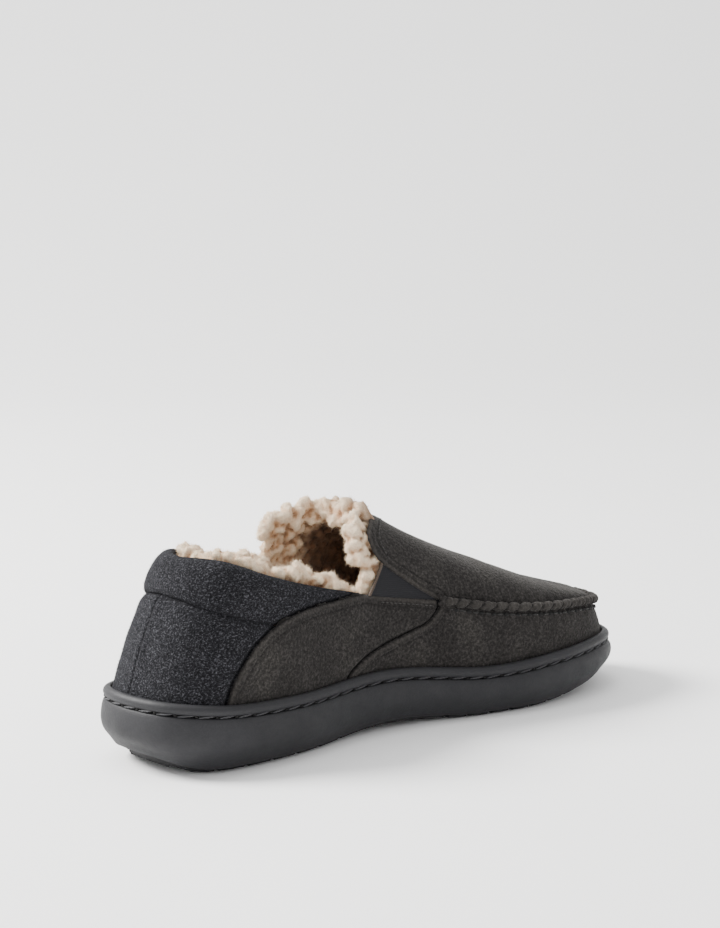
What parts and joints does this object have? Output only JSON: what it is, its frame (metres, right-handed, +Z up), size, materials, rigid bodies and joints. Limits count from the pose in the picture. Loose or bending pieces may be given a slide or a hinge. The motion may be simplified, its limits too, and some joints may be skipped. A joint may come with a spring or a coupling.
{
  "type": "slipper",
  "caption": "Slip-on moccasin house slipper for a left foot, with a stitched cup sole, suede and wool felt upper, elastic gores and a curly fleece lining.",
  "frame": {"origin": "on the ground, under the middle of the sole's outline", "axes": "+X towards the toe, +Z up, the medial side (the big toe's side) at -Y, the lateral side at +Y"},
  "size_m": [0.3022, 0.1085, 0.1007],
  "materials": {
    "sole_rubber": "matte moulded rubber",
    "tread_rubber": "matte moulded rubber",
    "suede": "brushed suede nap",
    "wool_felt": "melange boiled wool",
    "elastic": "ribbed elastic webbing",
    "thread": "waxed thread",
    "fleece": "curly pile fleece",
    "foam": "open-cell foam",
    "fibre_board": "pressed fibre board"
  },
  "bodies": {
    "root": {"outsole_tread": "tread_rubber", "midsole_cup": "sole_rubber", "welt": "sole_rubber", "welt_stitch": "thread", "insole_board": "fibre_board", "footbed_foam": "foam", "sock_liner": "fleece", "heel_panel_medial": "wool_felt", "heel_panel_lateral": "wool_felt", "quarter_medial": "suede", "quarter_lateral": "suede", "gore_medial": "elastic", "gore_lateral": "elastic", "collar": "wool_felt", "toe_wall": "suede", "apron": "suede", "moc_seam_ridge": "suede", "moc_seam_thread": "thread", "heel_counter": "fibre_board", "collar_foam": "foam", "lining_heel": "fleece", "lining_toe": "fleece", "lining_apron": "fleece"}
  },
  "joints": []
}
